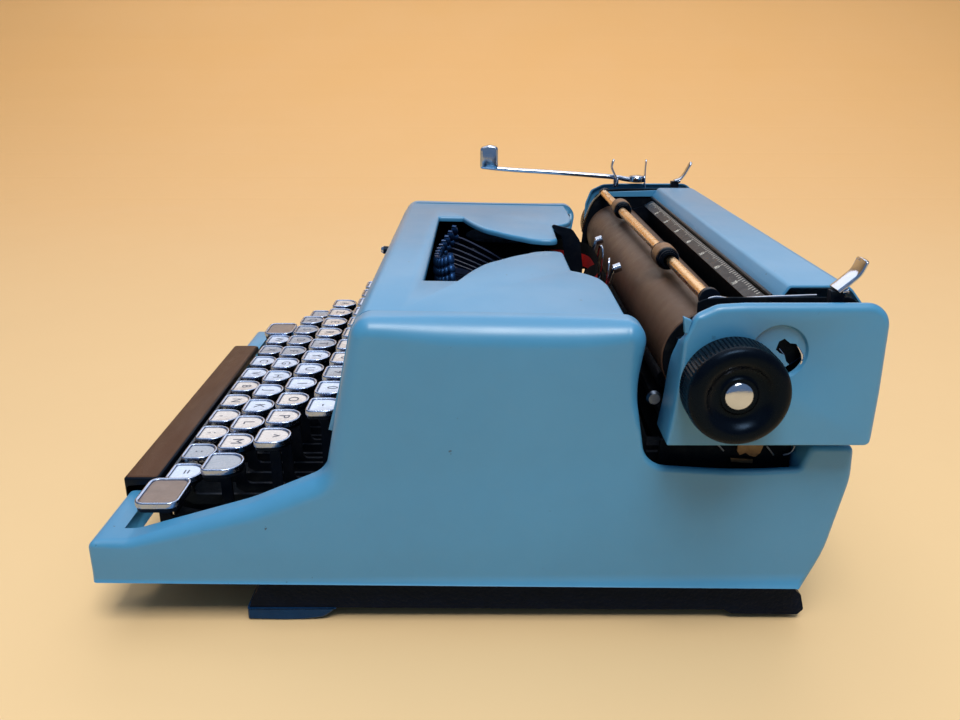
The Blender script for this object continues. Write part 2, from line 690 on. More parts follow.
def lever(shape, x, y, z, slot=3):
    """The flat lever below a key: stem, bent foot, long bar and open slot over the pivot rod."""
    py, pz = LEVER_PIVOT
    outline = closed_path([(y - 2.1, z), (y - 2.1, 33.5, 2), (y + 1.5, 31, 2), (py - 12, 31, 2),
                           (py + 4, 29, 1), (py + 4, pz - 2.3), (py - 2.3, pz - 2.3, 0.8),
                           (py - 2.3, pz + 2.3, 0.8), (py + 4, pz + 2.3), (py + 4, 37, 1), (py - 9, 37, 2),
                           (py - 15, 35.5, 2), (y + 2.3, 35.5, 2.5), (y + 2.1, z)])
    shape.prism_x(outline, x - 0.75, x + 0.75, slot)


def face_choice(row, index):
    return FACES[(index * 5 + len(row) * 3 + index // 4) % 5 % 3 if (index + len(row)) % 7 else 2]


def letter_key(name, body, node, row, index, x, y, z, letter):
    shape = Shape()
    wide = row == "home" and index == 10
    outline = tombstone(15.6, 15.4) if wide else tombstone(14.4, 13.8)
    height = 4.2
    cap(shape, outline, x, y, z, height, 1)
    lever(shape, x, y, z - height + 0.1)
    socket = rounded_box(x - 2.2, x + 2.2, y - 2.6, y + 2.6, 1)
    shape.prism_z(socket, z - height - 2.2, z - height + 0.05, 3)
    if letter.strip():
        shape.join(glyph(letter, 6.6, x, y - 0.2, z - 0.49, 2))
    piece(shape, name, body, [RING_METAL, face_choice(row, index), INK, BLACK_STEEL], [node],
          bevel=0.0, angle=40)


def keyboard():
    """The four rows of letter and number keys."""
    for row, spec in KEY_ROWS.items():
        for i, letter in enumerate(spec["letters"]):
            x = spec["x0"] + KEY_PITCH * i
            number = row == "number"
            node = "number_row_keys" if number else f"key_{row}_{i + 1}"
            body = "number_row" if number else node
            letter_key(f"{row}_row_key_{i + 1}", body, node, row, i, x, spec["y"], spec["z"], letter)


def shift_keys():
    """Two wide keys on one shaft."""
    for side, name in SIDES:
        shape = Shape()
        outline = split_long(rounded_box(-10.6, 10.6, -8.5, 8.5, 4, 0.7), 3)
        x, y, z = side * 104.0, 21.2, 47.0
        cap(shape, outline, x, y, z, 4.6, 1, lip=1.3)
        lever(shape, side * 104.75, 21, z - 4.4)
        piece(shape, f"shift_key_{name}", "shift_keys", [RING_METAL, SHIFT_FACE, INK, BLACK_STEEL],
              [f"shift_{name}"], angle=40)


def shift_lock():
    """The key above the left shift, on its own bent stem."""
    lock = Shape()
    outline = tombstone(14.0, 13.0)
    cap(lock, outline, -108.6, 45.9, 55.0, 4.2, 1)
    stem = closed_path([(43.8, 51), (43.8, 36, 3), (35, 33, 2), (35, 30, 1), (60, 30, 1), (60, 33.5, 1),
                        (48.5, 35, 2), (48.5, 51)])
    lock.prism_x(stem, -107.3, -105.9, 3)
    piece(lock, "shift_lock_key", "shift_keys", [RING_METAL, FACES[2], INK, BLACK_STEEL],
          angle=40)


def space_bar():
    """A black moulding with a brown top, end plates and two arms to its pivot."""
    shape = Shape()
    section = closed_path([(-2, 33.6, 0.5), (-0.3, 33.6, 0.4), (-0.3, 38.6, 0.8), (12.5, 39.4, 0.8),
                          (12.5, 43, 1.1), (-2, 43, 1.1)], 0.3)
    x0, x1 = BAR_ENDS
    shape.drawn_in_x(section, ((x0, 0.9), (x0 + 0.25, 0.35), (x0 + 0.9, 0.0), (x1 - 0.9, 0.0),
                               (x1 - 0.25, 0.35), (x1, 0.9)), 1)
    for side in (-1, 1):
        end = closed_path([(-1.2, 33.8, 0.5), (9.8, 33.8, 1), (9.8, 39.5), (-1.2, 39.5)])
        x = BAR_ENDS[0] + 0.1 if side < 0 else BAR_ENDS[1] - 4
        shape.prism_x(end, x, x + 3.9, 1)
        arm = closed_path([(9, 38.9), (9, 34, 1), (12.2, 31, 1), (12.2, 26.5, 1), (16, 23, 3),
                           (58.1, 14.8, 1), (58.1, 20.2, 1), (19, 27.5, 3), (15, 32, 1), (13.5, 38.9)])
        x = side * 73.85
        shape.prism_x(arm, x - 0.6, x + 0.6, 1)
    x0, x1 = BAR_ENDS[0] + 0.8, BAR_ENDS[1] - 0.8
    top = rounded_box(x0, x1, -1.2, 11.6, 1.2)
    levels = ((0.0, 42.9), (0.0, 43.1), (0.25, 43.3), (0.8, 43.4))
    shape.rings([[(p.x, p.y, z) for p in offset(top, inset)] for inset, z in levels], 0, caps=(False, True))
    piece(shape, "space_bar_moulding", "space_bar", [BAR_BROWN, BAR_BLACK], ["space_bar"])


# ------------------------------------------------------------------ type basket
def basket_matrix(angle=0.0):
    """Local X across, Y from the segment towards the printing point, Z up out of the segment."""
    turn = Matrix.Rotation(BASKET_TILT, 4, "X") @ Matrix.Rotation(angle, 4, "Z")
    return Matrix.Translation(Vector((0, *STRIKE))) @ turn


def typebar_shape(angle):
    """A curved typebar at rest, with the slug that carries its two characters standing on its end."""
    shape = Shape()
    head_y, head_z = -BAR_LENGTH + 3.2, 60.4
    line = smooth_line([(-BAR_LENGTH, -1, 0), (-55.5, 6, 0), (-49.8, 14, 0), (-46.0, 26, 0),
                        (-47.6, 38.5, 0), (-54.3, 53.2, 0), (head_y, head_z - 2, 0)], 5)
    path = [Vector((p.x, p.y)) for p in line]
    edges = [(p, n * BAR_WIDTH / 2) for p, n in zip(path, normals(path))]
    outline = [p + n for p, n in edges] + [p - n for p, n in reversed(edges)]
    shape.prism_x(outline, -0.5, 0.5, 0)
    local = Shape()
    for along, low, high, wide in ((-4.6, 1.5, 1.7, 1.2), (-0.8, 1.9, 1.6, 1.45), (3.4, 1.8, 2.0, 1.4)):
        ring = []
        for k in range(7):
            t = -1 + 2 * k / 6
            r = math.sqrt(max(0.0, 1 - t * t))
            size = 0.25 + 0.75 * r
            ring.append([(wide * size * math.cos(a), low * size * math.sin(a), along + t * high * 1.25)
                         for a in (2 * math.pi * j / 12 for j in range(12))])
        local.rings(ring, 1)
    local.block(-0.7, 0.7, -1.0, 1.0, -6.6, 6.2, 1)
    upright = Matrix.Translation(Vector((0, head_y, head_z))) @ Matrix.Rotation(-BASKET_TILT, 4, "X")
    local.moved(upright)
    shape.add(local.verts, local.faces, 1)
    return shape.moved(basket_matrix(angle))


def type_basket():
    """The fan of resting typebars in their segment."""
    basket = Shape()
    for i in range(BAR_COUNT + 1):
        angle = -BAR_FAN + BAR_STEP * i
        if abs(angle) > BAR_STEP / 2:
            basket.join(typebar_shape(angle))
    basket.join(segment_shape())
    for dx in (-28, 28):
        basket.block(dx - 5, dx + 5, 158, 166, 49.5, 58, 2)
    piece(basket, "typebar_basket", "chassis", [BAR_STEEL, SLUG_METAL, BLACK_STEEL],
          ["typebar_bank"])


def segment_shape():
    """The curved block that holds the typebars' pivots, with a tooth between each two bars."""
    segment = Shape()
    spread_angle = math.radians(42)
    for z_low, z_high, r_out, r_in in ((-5, -1.6, 68, 55), (-1.6, 3.4, 68, 64.7), (-1.6, 3.4, 58, 55)):
        outline = []
        for k in range(33):
            a = -math.pi / 2 - spread_angle + 2 * spread_angle * k / 32
            outline.append((r_out * math.cos(a), r_out * math.sin(a)))
        for k in range(33):
            a = -math.pi / 2 + spread_angle - 2 * spread_angle * k / 32
            outline.append((r_in * math.cos(a), r_in * math.sin(a)))
        segment.prism_z(outline, z_low, z_high, 2)
    for i in range(BAR_COUNT + 2):
        tooth = Shape()
        tooth.block(-0.8, 0.8, -65, -57.8, -1.6, 2.6, 2)
        segment.join(tooth.moved(Matrix.Rotation(-BAR_FAN + BAR_STEP * (i - 0.5), 4, "Z")))
    return segment.moved(basket_matrix())


def moving_typebar_and_rest():
    """The centre typebar that swings, and the pad that all the typebars lie on."""
    piece(typebar_shape(0), "typebar_moving", "typebar", [BAR_STEEL, SLUG_METAL],
          ["typebar_center"])
    rest = Shape()
    ring = [basket_matrix(math.radians(-40 + 80 * k / 24)) @ Vector((0, -56.6, 48.0)) for k in range(25)]
    rest.tube(ring, 2.0, 0, sides=10)
    piece(rest, "typebar_rest_pad", "chassis", [DARK_INSIDE])


def ribbon_spools():
    """Two flanged spools, the right one fuller than the left."""
    for side, name in SIDES:
        x, y = side * 82, 160
        spool = Shape()
        for low in (98.0, 109.2):
            spool.turned([(0.0, low), (23.4, low), (24.0, low + 0.3), (23.4, low + 0.8), (0.0, low + 0.8)],
                         (x, y), "Z", 64, 0)
        spool.turned([(0, 109), (3.2, 109), (3.2, 112.4), (2.6, 113), (0, 113)], (x, y), "Z", 24, 0)
        wound = 19.5 if side > 0 else 13.0
        spool.turned([(0, 98.6), (wound, 98.6), (wound, 109.4), (0, 109.4)], (x, y), "Z", 64, 1,
                     ripple=lambda a, r, z: 0.12 * math.sin(a * 3) if r > 1 else 0)
        for k in range(4):
            a = math.pi / 4 + math.pi / 2 * k
            spool.block(x + 9 * math.cos(a) - 2, x + 9 * math.cos(a) + 2, y + 9 * math.sin(a) - 1,
                        y + 9 * math.sin(a) + 1, 109.9, 110.4, 0)
        piece(spool, f"ribbon_spool_assembly_{name}", f"spool_{name}", [STEEL, RIBBON_BLACK],
              [f"ribbon_spool_{name}"], bevel=0.0)


def ink_ribbon():
    """A two-coloured ribbon between the spools, lifted in front of the printing point."""
    ribbon = Shape()
    half = [(0, 198.6), (14, 198.2), (22, 196.3), (30, 191.6), (46, 186.4), (66, 182.4), (88, 180.6)]
    run = smooth_line([(-x, y, 0) for x, y in reversed(half[1:])] + [(x, y, 0) for x, y in half], 8)
    for low, high, slot in ((98.6, 104.8, 1), (104.8, 110.6, 0)):
        rise = [7.0 * math.exp(-(p.x / 52) ** 4) for p in run]
        for gap in (-0.06, 0.06):
            verts = [(p.x, p.y + gap, low + r) for p, r in zip(run, rise)]
            verts += [(p.x, p.y + gap, high + r) for p, r in zip(run, rise)]
            n = len(run)
            ribbon.add(verts, [(i, i + 1, n + i + 1, n + i) for i in range(n - 1)], slot)
    piece(ribbon, "ink_ribbon", "chassis", [RIBBON_BLACK, RIBBON_RED])


def card_guide():
    """A tall and a low black fin, each with a wing, on one foot in front of the platen."""
    guide = Shape()
    fin = closed_path([(187.5, 74, 1), (193.5, 74, 1), (195.6, 106, 3), (193.6, 119, 3), (189.8, 124.6, 4),
                      (177.8, 127.6, 1), (181.6, 123.2, 1), (184.6, 121.0, 2), (186.6, 108, 3)], 0.4)
    low_fin = closed_path([(187.5, 74, 1), (193.5, 74, 1), (193.6, 104, 3), (192.6, 112.5, 2),
                           (188.2, 111.5, 2), (187.4, 104, 3)], 0.4)
    for side, outline in ((-1, fin), (1, low_fin)):
        x = side * GUIDE_X
        guide.prism_x(outline, x - 0.5, x + 0.5)
        wing = closed_path([(side * 20.3, 0), (side * 33, 0), (side * 36, 4), (side * 35, 9),
                            (side * 20.3, 12)])
        guide.prism_y([(p.x, 101 + p.y) for p in wing], 192.6, 193.4)
    guide.block(-21, 21, 189, 193, 74, 80)
    piece(guide, "card_guide_fins", "chassis", [BLACK_STEEL], ["card_guide"], bevel=0.25)


def ribbon_vibrator():
    """Bright wire loops and studs that guide the ribbon."""
    wires = Shape()
    for side in (-1, 1):
        loop = [(side * 9, 199.4, 82), (side * 9, 200.2, 96), (side * 9.5, 203.2, 104),
                (side * 10.5, 204.0, 114), (side * 13, 203.6, 117.4), (side * 16.5, 203.0, 116),
                (side * 18, 202.2, 108), (side * 18, 199.6, 98), (side * 17.5, 198.6, 88)]
        wires.tube(smooth_line(loop, 8), 0.55, sides=10)
        wires.tube([(side * 30, 203.0, 116.6), (side * 30, 206.2, 117.8)], 2.0, sides=18)
        wires.tube([(side * 28, 197, 96), (side * 30, 203.4, 116.9)], 1.1, sides=12)
    wires.block(-19, 19, 198.6, 199.8, 82, 88)
    piece(wires, "ribbon_vibrator", "chassis", [CHROME], bevel=0.15)


# ------------------------------------------------------------------ carriage
COVER_EDGE = [(206.8, 81.6, 0.5), (208.3, 92), (209.5, 106), (209.8, 118.5, 8), (213.0, 127.0, 5),
              (220.0, 130.4, 8), (229.0, 130.9), (276.0, 130.9, 8), (276.5, 100), (276.2, 81.6, 3.2)]
COVER_OUTLINE = split_long(closed_path(COVER_EDGE, 0.6), 3)
END_FACE = 137.0
RECESS = (241.0, 114.6)
RECESS_RINGS = ((9.9, 0), (9.5, 0.15), (9.2, 0.6), (8.9, 1.1), (8.4, 1.3))     # radius and depth
LOCK_HOLE = [(240.2, 115.4), (240.9, 118.2), (242.6, 119.2), (244.6, 117.6), (246.6, 117.4), (247.9, 115.2),
             (249.4, 113.6), (249.4, 110.8), (248.4, 108.8), (248.2, 106.6), (246.4, 106.8), (245.8, 109.6),
             (244.0, 111.4), (243.2, 113.6), (241.6, 114.2)]


def fold_radius(y, z):
    """Front fold, rounded top and rear, crisp bottom."""
    if z < 83:
        return 0.35
    if y < 214:
        return 1.3
    return 2.5


def flange_end(side, y, z):
    """How far in from the face each edge of the cover reaches."""
    if z < 82.5 and 208 < y < 273:
        return 135.4
    if y > 270 and z < 126:
        return 120.0
    if side > 0 and y < 216:
        return 120.0 + 14.3 * min(1.0, max(0.0, (z - 108) / 12))
    return 134.3


def face_with_hole(shape, outer, hole, slot=0):
    """Fills between two flat loops that run the same way round, as two faces."""
    _, y0, z0 = (sum(c) / len(hole) for c in zip(*hole))

    def halves(loop):
        level = {i: abs(p[2] - z0) for i, p in enumerate(loop)}
        a = min((i for i in level if loop[i][1] < y0), key=level.get)
        b = min((i for i in level if loop[i][1] > y0), key=level.get)
        first = [loop[(a + i) % len(loop)] for i in range((b - a) % len(loop) + 1)]
        second = [loop[(b + i) % len(loop)] for i in range((a - b) % len(loop) + 1)]
        return first, second
    for big, small in zip(halves(outer), halves(hole)):
        ring = big + list(reversed(small))
        shape.add(ring, [tuple(range(len(ring)))], slot)


def recess_ring(side, radius, depth, turns=48):
    y, z = RECESS
    angles = [2 * math.pi * i / turns for i in range(turns)]
    return [(side * (END_FACE - depth), y - radius * math.cos(a), z - radius * math.sin(a)) for a in angles]


def same_way(loop, model):
    """The loop, turned round if it runs the other way from the model."""
    def area(ring):
        return sum(ring[i - 1][1] * p[2] - ring[i - 1][2] * p[1] for i, p in enumerate(ring))
    return loop if area(loop) * area(model) > 0 else list(reversed(loop))


def end_cover(side, name):
    """A pressed cover with folded edges, a round recess and, on the right, the platen lock's hole."""
    shape = Shape()
    outline = COVER_OUTLINE
    radii = smooth_values([fold_radius(*p) for p in outline], 3)
    ends = smooth_values([flange_end(side, *p) for p in outline], 2)
    rows = [[(side * x, p.x, p.y) for x, p in zip(ends, outline)]]
    toward = [q - p for p, q in zip(outline, offset(outline, 1.0))]
    for back, drop in quarter_round(6):
        row = []
        for p, d, r in zip(outline, toward, radii):
            q = p + d * r * drop
            row.append((side * (END_FACE - r * back), q.x, q.y))
        rows.append(row)
    shape.rings(rows, caps=OPEN)

    press = [same_way(recess_ring(side, *ring), rows[-1]) for ring in RECESS_RINGS]
    face_with_hole(shape, rows[-1], press[0])
    shape.rings(press, caps=OPEN)
    if side > 0:
        lock = same_way([(side * 135.7, *p) for p in LOCK_HOLE], rows[-1])
        face_with_hole(shape, press[-1], lock)
        shape.rings([lock, [(side * 133.2, y, z) for _, y, z in lock]], 1, caps=(False, True))
    else:
        shape.add(press[-1], [tuple(range(len(press[-1])))])
    piece(shape, f"enamelled_end_cover_{name}", "carriage", [ENAMEL, DARK_INSIDE],
          [f"end_cover_{name}"], sheet=1.1, angle=32)


def inner_end_plate(side, name):
    """The black plate and block that close the cover's open side, and its bright or blue trim."""
    inner = Shape()
    if side > 0:
        tip = Shape()
        tip.prism_x([(210.0, 121.0), (211.2, 121.0), (212.0, 125.4), (209.2, 126.6)], 134.2, 136.4)
        piece(tip, "end_cover_tip", "carriage", [ENAMEL], bevel=0.3)
        plate = [(max(p.x, 218.0), p.y) for p in offset(COVER_OUTLINE, 2.6)]
        inner.prism_x(plate, 118.0, 118.8)
    else:
        plate = [(p.x - (3.2 * min(1.0, max(0.0, (120 - p.y) / 14)) if p.x < 214 else 0), p.y)
                 for p in offset(COVER_OUTLINE, 0.2)]
        inner.prism_x(plate, -114.6, -113.8)
        rim = smooth_line([(-113.5, 206.0, 105.0), (-113.5, 207.2, 111.5), (-113.5, 211.1, 122.3),
                           (-113.5, 217.2, 129.0)], 6)
        inner.tube(rim, 0.55, 1, sides=10)
        strip = Shape()
        strip.prism_x([(219.6, 126.0), (219.1, 128.9), (255.3, 130.1), (257.0, 126.2)], -113.7, -112.9)
        piece(strip, "left_bearing_strip", "carriage", [ENAMEL], bevel=0.2)
    inner.block(*sorted((side * 119.6, side * 133.0)), 214.5, 271.5, 84.5, 121.0)
    piece(inner, f"inner_end_plate_{name}", "carriage", [DARK_INSIDE, ROD_METAL], bevel=0.2)


def platen_lock_rim():
    """The bright crescent and glint at the edge of the platen lock's hole."""
    crescent = Shape()
    line = smooth_line([(135.4, 247.2, 116.6), (135.4, 249.0, 113.6), (135.4, 249.1, 110.6),
                        (135.4, 248.0, 107.2)], 6)
    crescent.tube(line, lambda t: 0.25 + 0.4 * math.sin(math.pi * t), sides=10)
    crescent.tube([(135.0, 241.4, 115.6), (135.0, 243.4, 113.2)], 0.3, sides=10)
    piece(crescent, "platen_lock_rim", "carriage", [CHROME])


def paper_table():
    """The blue sheet behind the platen and the dark strip along its front edge."""
    shape = Shape()
    section = split_long(round_path([(246.2, 126.6), (249.6, 131.7, 2.2), (270.5, 131.7, 6),
                                     (277.6, 123, 6), (277.6, 98)], step=0.5), 4)
    left, right = -113.0, 115.4
    rows = []
    for x, drop in ((left, 2.4), (left + 0.5, 1.1), (left + 1.4, 0.3), (left + 3, 0), (right - 1.2, 0),
                    (right - 0.3, 0.2), (right, 0.8)):
        rows.append([(x, p.x - n.x * drop, p.y - n.y * drop) for p, n in zip(section, normals(section))])
    shape.rings(rows, wrap=False, caps=OPEN)
    piece(shape, "enamelled_paper_table", "carriage", [ENAMEL], ["paper_table"], sheet=1.6,
          bevel=0.3, angle=32)
    gasket = Shape()
    gasket.tube([(-109.5, 246.0, 126.2), (109.5, 246.0, 126.2)], 0.8, sides=10)
    piece(gasket, "paper_table_edge", "carriage", [SCALE_BLACK])


def ruler_scale():
    """A black strip with white graduations and plain numbers, in front of the paper table."""
    tilt = math.radians(28)
    origin = Vector((0, 240.4, 122.6))
    along_y = Vector((0, math.cos(tilt), math.sin(tilt)))
    up = Vector((0, -math.sin(tilt), math.cos(tilt)))

    def on(x, v, lift):
        p = origin + along_y * v + up * lift
        return (x, p.y, p.z)
    strip = Shape()
    outline = rounded_box(-104, 106, 0, 5.6, 1)
    strip.rings([[on(p.x, p.y, lift) for p in outline] for lift in (-0.8, 0)], 0)
    marks = 78
    for i in range(marks + 1):
        x = -98 + 2.54 * i
        length = 2.8 if i % 10 == 0 else 2.1 if i % 5 == 0 else 1.4
        w = 0.16
        corners = ((x - w, 5.2 - length), (x + w, 5.2 - length), (x + w, 5.2), (x - w, 5.2))
        strip.rings([[on(*corner, lift) for corner in corners] for lift in (0.03, 0.08)], 1)
        if i % 10 == 0 and i:
            digits = glyph(str(i), 3.0, x, 1.35, 0.08, 1)
            digits.verts = [on(v[0], v[1], v[2]) for v in digits.verts]
            strip.join(digits)
    piece(strip, "ruler_scale", "carriage", [SCALE_BLACK, SCALE_WHITE])


KNOB_TEETH = 72


def knurl(angle, radius, along):
    """Fine grooves on the knob's rim only."""
    if radius > 16.6 and 139.2 < abs(along) < 148.2:
        return -0.42 * max(0.0, math.sin(angle * KNOB_TEETH)) ** 0.7
    return 0.0


def platen_and_knobs():
    """The rubber roller, its shaft, and two knobs with knurled rims and bright domes."""
    y, z, r, half = PLATEN["y"], PLATEN["z"], PLATEN["r"], PLATEN["half"]
    roller = Shape()
    roller.turned([(3.0, -half), (r - 0.5, -half), (r, -half + 0.5), (r, half - 0.5), (r - 0.5, half),
                   (3.0, half)], (y, z), "X", 128, 0)
    for side in (-1, 1):
        roller.rod(3.0, side * (half - 1), side * 137.6, (y, z), 32, 1)
        roller.turned([(0, side * (half + 0.05)), (r - 0.4, side * (half + 0.05)),
                       (r - 0.7, side * (half + 0.5)), (0, side * (half + 0.5))], (y, z), "X", 64, 2)
    piece(roller, "platen_roller", "platen_assembly", [PLATEN_RUBBER, STEEL, DARK_INSIDE],
          ["platen"])
    for side, name in SIDES:
        knob = Shape()
        profile = [(0, 138.0), (14.6, 138.0), (15.8, 138.3), (16.5, 139.0), (16.7, 139.6), (16.7, 147.8),
                   (16.5, 148.6), (16.5, 149.2), (16.2, 150.2), (15.4, 151.0), (13.9, 151.5), (12.2, 151.5),
                   (11.0, 151.0), (10.2, 150.2), (9.4, 149.3), (7.9, 148.7), (7.0, 148.6), (6.3, 148.8),
                   (5.8, 149.3), (5.1, 149.3), (0, 149.3)]
        knob.turned([(a, side * b) for a, b in profile], (y, z), "X", KNOB_TEETH * 5, 0, knurl)
        dome = [(0, 148.6), (4.7, 148.6), (4.8, 149.5)]
        dome += [(4.8 * math.cos(t), 149.5 + 1.4 * math.sin(t)) for t in (0.3, 0.6, 0.9, 1.2, 1.45)]
        dome.append((0, 150.92))
        knob.turned([(a, side * b) for a, b in dome], (y, z), "X", 48, 1)
        piece(knob, f"platen_knob_{name}", "platen_assembly", [KNOB_BLACK, CHROME],
              [f"knob_{name}"])


def bail_frame():
    """The rod, its dark hubs, and two arms with bright upper edges."""
    y, z, arm = BAIL["y"], BAIL["z"], BAIL["arm"]
    py, pz = BAIL["pivot"]
    bail = Shape()
    bail.tube([(-arm, y - 1.8, z), (arm, y + 1.8, z - 0.6)], 2.2, 2, sides=24)
    for side in (-1, 1):
        outline = split_long(closed_path([(220.2, 122.8, 1), (220.6, 125.2, 1), (224.6, 127.8, 2),
                                          (230.0, 127.1, 4), (243.6, 127.8), (258, 128.3, 3),
                                          (262.4, 126, 3), (262.0, 121.2, 2), (254.5, 121.2, 2),
                                          (251, 124.8, 4), (230, 124.2, 3), (224.8, 124.0, 1),
                                          (222.2, 122.0, 1)], 0.4), 4)
        bail.prism_x(outline, *sorted((side * 115.8, side * 117.0)), 1)
        rim = smooth_line([(side * 116.4, 220.4, 124.4), (side * 116.4, 221.6, 126.8),
                           (side * 116.4, 224.8, 127.8), (side * 116.4, 230.4, 127.2),
                           (side * 116.4, 243.6, 127.9), (side * 116.4, 259, 128.4)], 5)
        bail.tube(rim, 0.45, 0, sides=10)
        cap_profile = [(0, side * (arm - 1.6)), (3.0, side * (arm - 1.6)), (3.6, side * (arm - 0.8)),
                       (3.6, side * (arm + 1.5)), (0, side * (arm + 1.5))]
        bail.turned(cap_profile, (y + side * 1.8 + 0.8, z - 0.8), "X", 32, 1)
        bail.turned([(0, side * (arm + 1.0)), (2.2, side * (arm + 1.0)), (2.0, side * (arm + 2.0)),
                     (0, side * (arm + 2.2))], (py, pz), "X", 24, 0)
    piece(bail, "paper_bail_frame", "paper_bail", [CHROME, BLACK_STEEL, ROD_METAL],
          ["paper_bail"], bevel=0.15)


def bail_rollers():
    """Two rubber sleeves with ringed dark collars."""
    y, z = BAIL["y"], BAIL["z"]
    for side, name in SIDES:
        x = side * BAIL["roller"] - 3.5
        roller = Shape()
        sleeve = [(4.2, x - 4.6), (4.7, x - 4.2), (4.8, x - 3.4), (4.8, x + 3.4), (4.7, x + 4.2),
                  (4.2, x + 4.6)]
        roller.turned([(2.3, x - 4.6)] + sleeve + [(2.3, x + 4.6), (2.3, x - 4.6)], (y, z), "X", 48, 0)
        for end in (-1, 1):
            lo = x + end * 4.6
            collar = [(2.3, 0), (4.5, 0), (4.7, 0.6), (4.5, 1.6), (4.1, 2.4), (3.9, 2.6), (3.9, 3.4),
                      (3.4, 3.6), (3.3, 4.4), (2.3, 4.4), (2.3, 0)]
            roller.turned([(r, lo + end * d) for r, d in collar], (y, z), "X", 48, 1)
        piece(roller, f"bail_roller_sleeve_{name}", f"bail_roller_{name}", [ROLLER_RUBBER, KNOB_BLACK],
              [f"bail_roller_{name}"])


def flat_lever(shape, centre_line, x, half_width, thick, slot=0, flare=None):
    """A flat strip bent along a line in the YZ plane, with a rounded tip."""
    points = [Vector((p[0], p[1])) for p in smooth_line([(a, b, 0) for a, b in centre_line], 8)]
    side = normals(points)
    rings = []
    last = len(points) - 1
    for i, (p, n) in enumerate(zip(points, side)):
        t = i / last
        half = half_width * (flare(t) if flare else 1.0)
        tip = max(0.0, (t - 0.86) / 0.14)
        half *= math.sqrt(max(0.02, 1 - tip * tip))
        ring = []
        for k in range(16):
            a = 2 * math.pi * k / 16
            cx = abs(math.cos(a)) ** 0.5 * math.copysign(1, math.cos(a))
            cn = abs(math.sin(a)) ** 0.8 * math.copysign(1, math.sin(a))
            q = p + n * (thick / 2 * cn)
            ring.append((x + half * cx, q.x, q.y))
        rings.append(ring)
    shape.rings(rings, slot)


def return_lever():
    """A long thin arm on a round boss, with a thick paddle at its end."""
    arm = Shape()
    path = smooth_line([(-130, 240, 133.6), (-130, 236.6, 133.8), (-130, 232.2, 134.4), (-130, 224, 135.6),
                        (-130, 188, 138.2), (-130, 165, 139.6), (-130, 153, 140.6)], 6)
    arm.tube(path, lambda t: 1.6 - 0.35 * t, sides=16)
    arm.turned([(0, 132.6), (4.6, 132.6), (4.8, 133.2), (4.8, 135.4), (4.2, 136.2), (2.0, 136.6),
                (0, 136.6)], (-130, 240), "Z", 32)
    paddle = closed_path([(144.2, 140.6, 1.6), (153.6, 139.6, 1.6), (155.0, 142.0, 3), (155.0, 153.4, 2.0),
                         (150.0, 154.8, 6), (144.4, 153.0, 2.2)], 0.3)
    arm.drawn_in_x(paddle, ((-133.4, 1.3), (-133.0, 0.5), (-132.2, 0.0), (-128.2, 0.0), (-127.6, 0.5),
                            (-127.3, 1.3)))
    piece(arm, "carriage_return_lever", "return_lever", [CHROME], ["return_lever"], bevel=0.0)


def release_levers():
    """A curved blade on a black block at each end of the carriage."""
    lines = {"right": [(259.8, 133.6), (263.1, 136.5), (265.8, 139.2), (267.2, 142.2), (267.7, 144.0)],
             "left": [(262.4, 133.6), (266.2, 135.0), (268.8, 138.6), (271.9, 144.8)]}
    for x, name in ((128, "right"), (-127, "left")):
        shape = Shape()
        flat_lever(shape, lines[name], x, 4.2 if x > 0 else 2.6, 1.5)
        y0 = 258.2 if x > 0 else 260.4
        shape.block(x - 1.6, x + 1.6, y0, y0 + 4.6, 127.6, 133.4, 1)
        shape.tube([(x + 1.6, y0 + 3.4, 133.2), (x + 1.6, y0 + 5.4, 133.6)], 0.9, 0, sides=12)
        piece(shape, f"carriage_release_{name}", f"release_lever_{name}", [CHROME, BLACK_STEEL],
              [f"release_lever_{name}"], bevel=0.2)


def left_end_blades():
    """The line space and free-roller blades at the left end."""
    blades = Shape()
    flat_lever(blades, [(244.7, 129.6), (244.4, 134.5), (244.4, 140), (244.7, 146.2)], -127.5, 2.6, 0.9,
               flare=lambda t: 1.0 - 0.55 * t)
    flat_lever(blades, [(226.7, 130.8), (227.4, 134.0), (225.6, 138.0), (224.0, 141.9), (225.0, 146.4)],
               -127.5, 2.2, 1.3, flare=lambda t: 1.0 - 0.2 * t)
    blades.block(-130.0, -126.0, 225.4, 228.4, 130.0, 134.4)
    piece(blades, "line_space_and_margin_levers", "carriage", [CHROME])


def escapement_rack():
    """The toothed bar below the carriage."""
    rack = Shape()
    step = 2.54
    for i in range(int(200 / step)):
        x = -100 + step * i
        tooth = [(x, 79.2), (x + step * 0.75, 79.2), (x + step * 0.45, 76.4), (x + step * 0.3, 76.4)]
        rack.prism_y(tooth, 229, 231, 0)
    rack.block(-104, 112, 228.6, 231.4, 79.0, 82.5, 0)
    piece(rack, "escapement_rack", "carriage", [BRASS])


def feed_rollers():
    """Two dark rollers on thin shafts under the platen."""
    feed = Shape()
    for y in (213.5, 237.5):
        feed.rod(3.6, -100, 100, (y, 91.5))
        feed.rod(1.3, -112, 112, (y, 91.5), 16, 1)
    piece(feed, "feed_rollers", "carriage", [DARK_INSIDE, STEEL])


def end_cover_screws():
    """Two screws on the rear edge of each end cover."""
    screws = Shape()
    for side in (-1, 1):
        for y, z in ((276.9, 117.5), (276.9, 95.5)):
            screws.tube([(side * 131, y - 0.6, z), (side * 131, y + 0.7, z)], 1.6, 0, 20)
    piece(screws, "end_cover_screws", "carriage", [STEEL], bevel=0.2)


